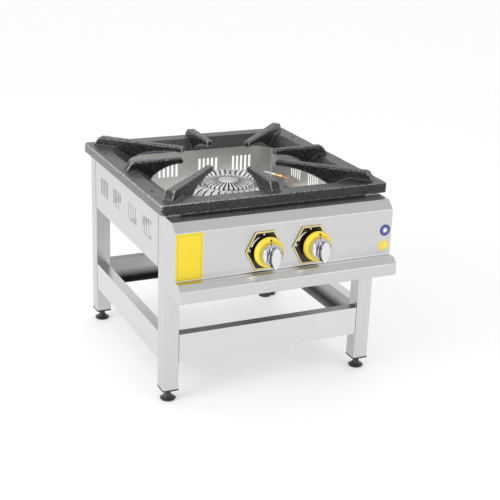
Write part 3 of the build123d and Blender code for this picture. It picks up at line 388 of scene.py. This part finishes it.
def burner_paint(node=None):
    """Aluminium-coloured heat paint; on a cap, the slots and lines along them are dark, partly soot and
    partly painted shade.
    """
    finish = Finish(f"{node or 'burner'}_finish", BURNER_PALE, 0.5, metallic=0.3)
    grain = finish.noise(500.0, 3.0)
    clouds = finish.noise(30.0, 4.0)
    paint = finish.blend(finish.remap(clouds, 0.4, 0.7), BURNER_PALE, BURNER_GREY)
    if node:
        # soot and painted shade: dark slot walls and floors, and dark lines along the slots
        top = SOOT_SHADE_TOP[node]
        above = finish.remap(finish.at("Z"), top - SOOT_SHADE_FADE, top)
        steep = finish.remap(finish.facing("Z"), *STEEP, 1.0, 0.0)
        walls = finish.remap(finish.facing_round(), *SLOT_WALL, 1.0, 0.0)
        start = finish.remap(finish.burner_radius(), *SLOT_LINE_RADII, *SLOT_LINE_STARTS)
        slot_line = finish.combine("SUBTRACT", finish.spokes(SLOTS[node]), start)
        bare_paint = finish.times(finish.combine("MAXIMUM", above, steep), walls,
                             finish.remap(slot_line, 0.0, SLOT_LINE_EDGE, 1.0, SLOT_LINE_PAINT_SHARE))
        paint = finish.blend(bare_paint, SOOT_AND_SHADE, paint)
    finish.colour(paint)
    finish.roughness(grain, 0.4, 0.62)
    finish.bump(grain, 0.25 * MM, 0.6)
    return finish.material


def moulded(name, colour, roughness, tone=0.85):
    """Plastic with a faint cloudiness and a fine moulded texture."""
    finish = Finish(name, colour, roughness)
    finish.colour(finish.blend(finish.noise(45.0, 2.0), toned(colour, tone), colour))
    texture = finish.noise(900.0, 2.0)
    finish.roughness(texture, roughness * 0.8, roughness * 1.25)
    finish.bump(texture, 0.03 * MM, 0.3)
    return finish.material


def plated(name, colour, roughness):
    """Bare or plated metal with fine wipe marks and slight patches."""
    finish = Finish(name, colour, roughness, metallic=1.0)
    patches = finish.noise(60.0, 3.0)
    marks = finish.noise(1.0, 2.0, (900, 900, 120))
    finish.colour(finish.blend(finish.remap(patches, *SPREAD), toned(colour, 0.86), colour))
    finish.roughness(marks, roughness * 0.7, roughness * 1.4)
    finish.bump(marks, 0.01 * MM, 0.3)
    return finish.material


CHROME = (0.71, 0.71, 0.73)
# painted reflection: dark bands on the knob grips
CHROME_REFLECTED_DARK = (0.10, 0.10, 0.125)
BLADE_DEPTH = 12 * MM       # how far the grip's blade stands out of its hub
BLADE_FADE = 2 * MM
BAND_PITCH = 9.5 * MM       # of the painted dark reflection bands on the blade's flanks
BAND_WOBBLE = 0.9           # in radians of their wave
BAND_LIMITS = (-0.5, 0.1)   # of their wave, where they are palest and darkest
BAND_DARKNESS = (0.15, 1.0)     # at these limits
FLANK_LIMITS = (0.5, 0.8)   # facing X, to either side, where a flank starts and where it is flat
CROWN_LIMITS = (0.55, 0.9)  # facing Z, the same for the blade's upper end
FRONT_LIMITS = (-0.85, -0.6)    # facing Y on the hub's face and where it has turned away
MIRROR_REACH = 20 * MM      # the hub's face shows a painted reflection of the blade this far from the axis
MIRROR_PITCH = 5.5 * MM


def chrome(side):
    """Bright plating on a moulding, with painted dark reflections in bands on the blade's flanks and top,
    and painted reflections of them on the hub's face beside it.
    """
    low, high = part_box(f"knob_grip_{side}")
    finish = Finish(f"chrome_finish_{side}", CHROME, 0.1, metallic=1.0)
    depth = finish.at("Y")
    across = finish.combine("ABSOLUTE", finish.combine("SUBTRACT", finish.at("X"), (low.x + high.x) / 2))
    wobble = finish.remap(finish.noise(90.0, 2.0), *SPREAD, -BAND_WOBBLE, BAND_WOBBLE)

    def bands(along, pitch):
        turns = finish.combine("ADD", finish.times(along, 2 * math.pi / pitch), wobble)
        return finish.remap(finish.combine("SINE", turns), *BAND_LIMITS, *BAND_DARKNESS)

    hub = finish.remap(depth, low.y + BLADE_DEPTH - BLADE_FADE, low.y + BLADE_DEPTH)
    blade = finish.combine("SUBTRACT", 1.0, hub)
    sideways = finish.remap(finish.combine("ABSOLUTE", finish.facing("X")), *FLANK_LIMITS)
    turned = finish.combine("MAXIMUM", sideways, finish.remap(finish.facing("Z"), *CROWN_LIMITS))
    front = finish.remap(finish.facing("Y"), *FRONT_LIMITS, 1.0, 0.0)
    near = finish.remap(across, MIRROR_REACH, MIRROR_REACH - BLADE_FADE)
    # painted reflections: dark bands on the blade and on the hub's face beside it
    flanks = finish.times(blade, turned, bands(depth, BAND_PITCH))
    mirrored = finish.times(hub, front, near, bands(across, MIRROR_PITCH))
    finish.colour(finish.blend(finish.combine("MAXIMUM", flanks, mirrored), CHROME, CHROME_REFLECTED_DARK))
    finish.roughness(finish.noise(60.0, 3.0), 0.06, 0.14)
    return finish.material


TIP_SHARE = 0.5             # bare part of the thermocouple, from its hot end
TIP_EDGE = 0.4 * MM
TIP_STEEL = (0.66, 0.65, 0.63)
SLEEVE_DARK = (0.66, 0.44, 0.16)
SLEEVE_LIGHT = (0.85, 0.62, 0.26)


def probe_finish(hot_end, cold_end):
    """Bare steel tip in a brass sleeve: the ends are X coordinates."""
    finish = Finish("probe_finish", TIP_STEEL, 0.3, metallic=1.0)
    patches = finish.noise(200.0, 3.0)
    brass = finish.blend(patches, SLEEVE_DARK, SLEEVE_LIGHT)
    split = hot_end + (cold_end - hot_end) * TIP_SHARE
    edge = math.copysign(TIP_EDGE, cold_end - hot_end)
    sleeve = finish.remap(finish.at("X"), split - edge, split + edge)
    finish.colour(finish.blend(sleeve, TIP_STEEL, brass))
    finish.roughness(patches, 0.22, 0.4)
    return finish.material


def printed(name, colour, roughness=0.35):
    """Ink or foil on a plate, slightly uneven."""
    finish = Finish(name, colour, roughness)
    uneven = finish.noise(120.0, 3.0)
    finish.colour(finish.blend(uneven, toned(colour, 0.9), colour))
    finish.roughness(uneven, roughness * 0.85, roughness * 1.2)
    return finish.material


STEEL = [brushed_steel(f"stainless_{axis}", index) for index, axis in enumerate("xyz")]
PANEL = brushed_steel("stainless_panel", 0, tone=PANEL_TONE)
WELL = [brushed_steel(f"stainless_well_{axis}", index, WELL_STEEL, SIDE_TONE)
        for index, axis in enumerate("xy")]
# the rails' inner faces and the front and rear rails' upper flanges carry painted shade
RAIL = [brushed_steel(f"stainless_rail_{axis}", index, INNER_SHADED_STEEL, RAIL_TONE, "lower_rail_left", tops)
        for index, (axis, tops) in enumerate((("x", RAIL_TOP_SHADE), ("y", None)))]
# painted shade: a dark sheet for the bulkhead
SHADE_SHEET = painted_shade_sheet()
FINISHES = {
    "cast_iron": rough_iron(),
    "burner_cast": burner_paint(),
    "black_plastic": moulded("black_plastic_finish", (0.034, 0.034, 0.036), 0.33),
    "yellow_plastic": moulded("yellow_plastic_finish", (0.90, 0.70, 0.06), 0.24, 0.94),
    "bezel_print": printed("bezel_black", (0.012, 0.010, 0.010), 0.25),
    "zinc_steel": plated("zinc_finish", (0.62, 0.62, 0.63), 0.38),
    "black_steel": moulded("black_steel_finish", (0.02, 0.02, 0.021), 0.35),
    "brass": plated("brass_finish", (0.80, 0.58, 0.24), 0.26),
    "copper": plated("copper_finish", (0.80, 0.42, 0.26), 0.3),
}
CREAM = printed("cream_print", (0.88, 0.76, 0.32))
WHITE = printed("white_print", (0.88, 0.88, 0.86))
LABEL_YELLOW = printed("label_yellow", (0.88, 0.68, 0.022), 0.45)
LABEL_LINE = printed("label_line", (0.42, 0.32, 0.03), 0.5)
DARK_GAP = printed("dark_gap", (0.045, 0.045, 0.05), 0.6)
BLUE = printed("disc_blue", (0.035, 0.035, 0.22), 0.35)
PALE_BLUE = printed("disc_pale_blue", (0.16, 0.18, 0.52), 0.35)
OVAL_YELLOW = printed("oval_yellow", (0.95, 0.74, 0.12), 0.4)
OVAL_LINE = printed("oval_line", (0.72, 0.47, 0.04), 0.4)
MARK_BLACK = printed("mark_black", (0.01, 0.01, 0.01), 0.4)

STEEL_OF = {
    # start of a node's name: finish. The first that fits is taken.
    "front_panel": PANEL, "leg": STEEL[2], "box_end": STEEL[1], "bulkhead": SHADE_SHEET,
    "apron_rear": WELL[0], "apron": WELL[1],
    "lower_rail_front": RAIL[0], "lower_rail_rear": RAIL[0], "lower_rail": RAIL[1],
}
FINISH_OF = {cap: burner_paint(cap) for cap in SOOT_SHADE_TOP}
FINISH_OF.update({f"knob_grip_{side}": chrome(side) for side in SIDES})
FINISH_OF["thermocouple"] = probe_finish(*(corner.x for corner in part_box("thermocouple")))


def steel_for(node):
    for start, finish in STEEL_OF.items():
        if node.startswith(start):
            return finish
    return STEEL[0]


def finish_for(node):
    slot = SLOT_OF[node]
    if slot == "stainless":
        return steel_for(node)
    return FINISH_OF.get(node) or FINISHES[slot]


# ---------------------------------------------------------------- pieces

WELD_DISTANCE = 0.001 * MM
SAND_WAVES = ((0.45, 120), (0.25, 330))     # depth in mm, scale
SOFTENED = [
    # node, voxel in mm, smoothing passes
    ("cast_top", 1.9, 3),
    ("outer_ring_cap", 1.2, 2),
    ("inner_burner_cap", 1.1, 2),
    ("gas_inlet", 0.8, 2),
    ("thermocouple", 0.6, 2),
]
for side in SIDES:
    SOFTENED += [(f"knob_skirt_{side}", 0.9, 3), (f"knob_grip_{side}", 0.7, 4)]
for corner in CORNERS:
    SOFTENED += [(f"foot_{corner}", 1.0, 3), (f"leg_cap_{corner}", 1.2, 2)]


def place(piece, body, material):
    piece.data.materials.clear()
    piece.data.materials.append(material)
    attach(piece, body)


def new_piece(name, shape, body, material):
    """Turn a bmesh into a piece of the scene."""
    bmesh.ops.recalc_face_normals(shape, faces=shape.faces)
    mesh = bpy.data.meshes.new(name)
    shape.to_mesh(mesh)
    shape.free()
    piece = bpy.data.objects.new(name, mesh)
    bpy.context.scene.collection.objects.link(piece)
    place(piece, body, material)


def softened(node, name, voxel, passes):
    """A copy of a node with rounded edges and filleted corners, which replaces it."""
    shape = bmesh.new()
    shape.from_mesh(NODES[node].data)
    bmesh.ops.remove_doubles(shape, verts=shape.verts, dist=WELD_DISTANCE)
    mesh = bpy.data.meshes.new(name)
    shape.to_mesh(mesh)
    shape.free()
    piece = bpy.data.objects.new(name, mesh)
    bpy.context.scene.collection.objects.link(piece)
    remesh = piece.modifiers.new("remesh", "REMESH")
    remesh.mode = "VOXEL"
    remesh.voxel_size = voxel * MM
    smooth = piece.modifiers.new("smooth", "SMOOTH")
    smooth.factor = 0.5
    smooth.iterations = passes
    bpy.context.view_layer.update()
    evaluated = piece.evaluated_get(bpy.context.evaluated_depsgraph_get())
    piece.data = bpy.data.meshes.new_from_object(evaluated)
    piece.modifiers.clear()
    piece.data.polygons.foreach_set("use_smooth", [True] * len(piece.data.polygons))
    place(piece, BODY_OF[node], finish_for(node))
    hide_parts(node)
    return piece


def roughen(piece):
    """Move a casting's vertices in and out a little, as a sand mould leaves its surface."""
    mesh = piece.data
    normals = [normal.vector.copy() for normal in mesh.vertex_normals]
    places = [vertex.co.copy() for vertex in mesh.vertices]
    moved = []
    for spot, normal in zip(places, normals):
        height = sum(depth * noise.noise(spot * scale) for depth, scale in SAND_WAVES)
        moved.extend(spot + normal * (height * MM))
    mesh.vertices.foreach_set("co", moved)
    mesh.update()


# ---------------------------------------------------------------- print and plates on the control box

PLATE_RISE = 0.3 * MM       # thickness of a printed line or sticker
LINE_RISE = PLATE_RISE / 3  # thickness of what is printed on a sticker


def raised(name, outline, holes, y, rise, body, material):
    """A thin plate on a face that looks along -Y: outline and holes are lists of (x, z) in metres."""
    shape = bmesh.new()
    rims = []
    for loop in [outline, *holes]:
        verts = [shape.verts.new((x, y, z)) for x, z in loop]
        rims += [shape.edges.new((verts[i], verts[(i + 1) % len(verts)])) for i in range(len(verts))]
    filled = bmesh.ops.triangle_fill(shape, edges=rims, use_beauty=True, use_dissolve=False)
    faces = [item for item in filled["geom"] if isinstance(item, bmesh.types.BMFace)]
    grown = bmesh.ops.extrude_face_region(shape, geom=faces)
    verts = [item for item in grown["geom"] if isinstance(item, bmesh.types.BMVert)]
    bmesh.ops.translate(shape, verts=verts, vec=(0, -rise, 0))
    new_piece(name, shape, body, material)


def ellipse(x, z, half_width, half_height, count=48):
    steps = [2 * math.pi * i / count for i in range(count)]
    return [(x + half_width * math.cos(a), z + half_height * math.sin(a)) for a in steps]


def rounded_rectangle(x0, x1, z0, z1, radius, count=6):
    points = []
    corners = ((x1 - radius, z1 - radius, 0), (x0 + radius, z1 - radius, 1),
               (x0 + radius, z0 + radius, 2), (x1 - radius, z0 + radius, 3))
    for x, z, quarter in corners:
        for i in range(count + 1):
            angle = math.pi / 2 * (quarter + i / count)
            points.append((x + radius * math.cos(angle), z + radius * math.sin(angle)))
    return points


def arc_band(x, z, radius, start, end, width_start, width_end, count=24):
    """A tapered arc as a closed outline; angles in degrees, anticlockwise from +X."""
    outer, inner = [], []
    for i in range(count + 1):
        share = i / count
        angle = math.radians(start + (end - start) * share)
        half = (width_start + (width_end - width_start) * share) / 2
        outer.append((x + (radius + half) * math.cos(angle), z + (radius + half) * math.sin(angle)))
        inner.append((x + (radius - half) * math.cos(angle), z + (radius - half) * math.sin(angle)))
    return outer + inner[::-1]


def hexagon(x, z, half_width, half_height, half_flat, inset):
    """The knob plate's outline, moved inwards by an inset."""
    slope = math.hypot(half_width - half_flat, half_height)
    side = inset * slope / half_height
    inner_height = half_height - inset
    inner_flat = half_width - side - inner_height * (half_width - half_flat) / half_height
    return [(x + half_width - side, z),
            (x + inner_flat, z + inner_height), (x - inner_flat, z + inner_height),
            (x - half_width + side, z),
            (x - inner_flat, z - inner_height), (x + inner_flat, z - inner_height)]


BEZEL_FLAT = 24.5 * MM      # half the length of the plate's level edges
BORDER_WIDTH = 3.9 * MM
BORDER_EDGE = 0.3 * MM
SCALE_RADIUS = 36.8 * MM
SCALE_START, SCALE_END = 160, 114       # in degrees, anticlockwise from +X
SCALE_WIDE, SCALE_THIN = 5.0 * MM, 2.0 * MM
RING_MARK_X = -40.0 * MM
RING_MARK_Z = 3.0 * MM
RING_MARK_RADIUS = 3.5 * MM
FLAME_MARK_Z = 40.2 * MM
FLAME_MARK_X = -3.0 * MM
FLAME_MARK_SIZE = 2.1 * MM
DROP_QUARTER = 5            # points on a quarter of the drop's outline; its tip ends the first one
INDEX_RADIUS = 32.0 * MM
INDEX_SIZE = 2.6 * MM
INDEX_ROOT = 1.5 * MM       # behind the skirt's front
INDEX_LENGTH = 2.0 * MM     # from there forwards


def bezel_print(side):
    """Border, tapered scale and two plain marks on a knob's six-sided plate."""
    low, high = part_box(f"knob_bezel_{side}")
    x, z = (low.x + high.x) / 2, (low.z + high.z) / 2
    half_w, half_h = (high.x - low.x) / 2, (high.z - low.z) / 2
    y = low.y
    body = BODY_OF[f"knob_bezel_{side}"]

    def flat(name, outline, holes, material):
        raised(f"{name}_{side}", outline, holes, y, PLATE_RISE, body, material)

    flat("knob_plate_border", hexagon(x, z, half_w, half_h, BEZEL_FLAT, BORDER_EDGE),
         [hexagon(x, z, half_w, half_h, BEZEL_FLAT, BORDER_WIDTH)], CREAM)
    flat("knob_scale", arc_band(x, z, SCALE_RADIUS, SCALE_START, SCALE_END, SCALE_WIDE, SCALE_THIN),
         [], WHITE)
    ring = (x + RING_MARK_X, z + RING_MARK_Z)
    flat("knob_ring_mark", ellipse(*ring, RING_MARK_RADIUS, RING_MARK_RADIUS, 24),
         [ellipse(*ring, RING_MARK_RADIUS / 2, RING_MARK_RADIUS / 2, 16)], WHITE)
    flame = (x + FLAME_MARK_X, z + FLAME_MARK_Z)
    drop = ellipse(*flame, FLAME_MARK_SIZE, FLAME_MARK_SIZE, 4 * DROP_QUARTER)
    drop[DROP_QUARTER] = (flame[0], flame[1] + 2 * FLAME_MARK_SIZE)
    flat("knob_flame_mark", drop, [], WHITE)


def index_mark(side):
    """Black dot on the yellow ring, on the side away from the grip."""
    node = f"knob_skirt_{side}"
    low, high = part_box(node)
    x, z = (low.x + high.x) / 2, (low.z + high.z) / 2
    raised(f"knob_index_{side}", ellipse(x, z + INDEX_RADIUS, INDEX_SIZE, INDEX_SIZE, 24), [],
           low.y + INDEX_ROOT, INDEX_LENGTH, BODY_OF[node], MARK_BLACK)


YELLOW_PLATE = (-284.5 * MM, -218 * MM, 344 * MM, 459.5 * MM)       # left, right, bottom, top
PLATE_CORNER = 2.5 * MM
PLATE_LINE = ((4.0 * MM, 1.5 * MM), (4.9 * MM, 1.0 * MM))       # inset and corner of the line's two edges
DISC_PLACE = (267.5 * MM, 409 * MM)
DISC_RADIUS, DISC_INNER, DISC_DOT = 14.5 * MM, 10 * MM, 5 * MM
OVAL_PLACE = (266 * MM, 369 * MM)
OVAL_SIZE = (15.5 * MM, 13 * MM)
OVAL_LINE_EDGES = ((12.5 * MM, 10 * MM), (11.3 * MM, 8.8 * MM))


def sticker(name, outline, material, line=None, line_material=None):
    """A thin plate on the knob panel; a line on it is a pair of outlines, its outer and inner edge."""
    raised(name, outline, [], PANEL_FACE, PLATE_RISE, "frame", material)
    if line:
        outer, inner = line
        raised(f"{name}_line_0", outer, [inner], PANEL_FACE - PLATE_RISE, LINE_RISE,
               "frame", line_material)


def yellow_plate_outline(inset, corner):
    x0, x1, z0, z1 = YELLOW_PLATE
    return rounded_rectangle(x0 + inset, x1 - inset, z0 + inset, z1 - inset, corner)


def blank_plates():
    """Where the object has labels: a blank yellow plate, a plain blue disc and a plain yellow oval."""
    sticker("yellow_plate", yellow_plate_outline(0, PLATE_CORNER), LABEL_YELLOW,
            [yellow_plate_outline(*edge) for edge in PLATE_LINE], LABEL_LINE)
    sticker("blue_disc", ellipse(*DISC_PLACE, DISC_RADIUS, DISC_RADIUS), BLUE)
    face = PANEL_FACE - PLATE_RISE
    raised("blue_disc_inner", ellipse(*DISC_PLACE, DISC_INNER, DISC_INNER), [], face, LINE_RISE,
           "frame", PALE_BLUE)
    raised("blue_disc_dot", ellipse(*DISC_PLACE, DISC_DOT, DISC_DOT, 32), [], face - LINE_RISE, LINE_RISE,
           "frame", WHITE)
    sticker("yellow_oval", ellipse(*OVAL_PLACE, *OVAL_SIZE), OVAL_YELLOW,
            [ellipse(*OVAL_PLACE, *edge) for edge in OVAL_LINE_EDGES], OVAL_LINE)


# ---------------------------------------------------------------- joint lines of the frame

GAP_WIDTH = 1.0 * MM
GAP_RISE = 0.12 * MM


def joint_lines():
    """Dark hairlines where the rails and side panels butt against the legs."""
    shape = bmesh.new()
    for node in NODES:
        if not node.startswith(("lower_rail", "apron")):
            continue
        low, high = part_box(node)
        along = 0 if high.x - low.x > high.y - low.y else 1
        out = 1 - along
        outside = max(low[out], high[out], key=abs)
        face = outside + math.copysign(GAP_RISE, outside)
        for end, inner in ((low[along], low[along] + GAP_WIDTH), (high[along] - GAP_WIDTH, high[along])):
            middle, size = Vector(), Vector()
            middle[along], size[along] = (end + inner) / 2, GAP_WIDTH
            middle[out], size[out] = face, 2 * GAP_RISE
            middle.z, size.z = (low.z + high.z) / 2, high.z - low.z
            stretch = Matrix.Diagonal((*size, 1))
            bmesh.ops.create_cube(shape, size=1, matrix=Matrix.Translation(middle) @ stretch)
    new_piece("joint_lines", shape, "frame", DARK_GAP)


# ---------------------------------------------------------------- studio

FLOOR_TONE = (0.72, 0.72, 0.72)
FLOOR_GLOW = 0.33           # the white sheet is lit from below as well
FLOOR_HALF = 20.0
SKY_HORIZON, SKY_TOP = 0.98, 0.80       # strengths
SKY_LOW, SKY_HIGH = 0.15, 0.95          # upward part of the directions where they start and end
LIGHT_TARGET = (0, 0, 0.3)
LIGHTS = [
    # name, place, size, watts
    ("key_light", (-2.9, -0.7, 1.7), 1.8, 40),
    ("fill_light", (1.6, -2.8, 1.6), 2.0, 12),
]


def make_floor():
    signs = ((-1, -1), (1, -1), (1, 1), (-1, 1))
    shape = bmesh.new()
    shape.faces.new([shape.verts.new((sx * FLOOR_HALF, sy * FLOOR_HALF, 0)) for sx, sy in signs])
    mesh = bpy.data.meshes.new("floor")
    shape.to_mesh(mesh)
    shape.free()
    floor = bpy.data.objects.new("floor", mesh)
    bpy.context.scene.collection.objects.link(floor)
    finish = Finish("floor_finish", FLOOR_TONE, 0.7)
    finish.colour(finish.blend(finish.noise(3.0, 2.0), toned(FLOOR_TONE, 0.98), FLOOR_TONE))
    finish.shader.inputs["Emission Color"].default_value = (1, 1, 1, 1)
    finish.shader.inputs["Emission Strength"].default_value = FLOOR_GLOW
    floor.data.materials.append(finish.material)


def make_world():
    world = bpy.data.worlds.new("studio")
    world.use_nodes = True
    bpy.context.scene.world = world
    tree = world.node_tree
    background = tree.nodes["Background"]
    direction = tree.nodes.new("ShaderNodeTexCoord").outputs["Generated"]
    split = tree.nodes.new("ShaderNodeSeparateXYZ")
    tree.links.new(direction, split.inputs["Vector"])
    rise = tree.nodes.new("ShaderNodeMapRange")
    rise.inputs["From Min"].default_value = SKY_LOW
    rise.inputs["From Max"].default_value = SKY_HIGH
    rise.inputs["To Min"].default_value = SKY_HORIZON
    rise.inputs["To Max"].default_value = SKY_TOP
    tree.links.new(split.outputs["Z"], rise.inputs["Value"])
    tree.links.new(rise.outputs["Result"], background.inputs["Strength"])
    background.inputs["Color"].default_value = (1, 1, 1, 1)


def soft_light(name, spot, size, power):
    data = bpy.data.lights.new(name, "AREA")
    data.size = size
    data.energy = power
    lamp = bpy.data.objects.new(name, data)
    lamp.location = spot
    lamp.rotation_mode = "QUATERNION"
    lamp.rotation_quaternion = (Vector(LIGHT_TARGET) - Vector(spot)).to_track_quat("-Z", "Y")
    bpy.context.scene.collection.objects.link(lamp)


def make_studio():
    make_floor()
    make_world()
    for light in LIGHTS:
        soft_light(*light)
    bpy.context.scene.view_settings.view_transform = "Standard"


# ---------------------------------------------------------------- assembly

make_camera()
for node, piece in NODES.items():
    for material_slot in piece.material_slots:
        material_slot.material = finish_for(node)
for node, voxel, passes in SOFTENED:
    form = softened(node, f"{node}_form", voxel, passes)
    if node == "cast_top":
        roughen(form)
for side in SIDES:
    bezel_print(side)
    index_mark(side)
blank_plates()
joint_lines()
make_studio()
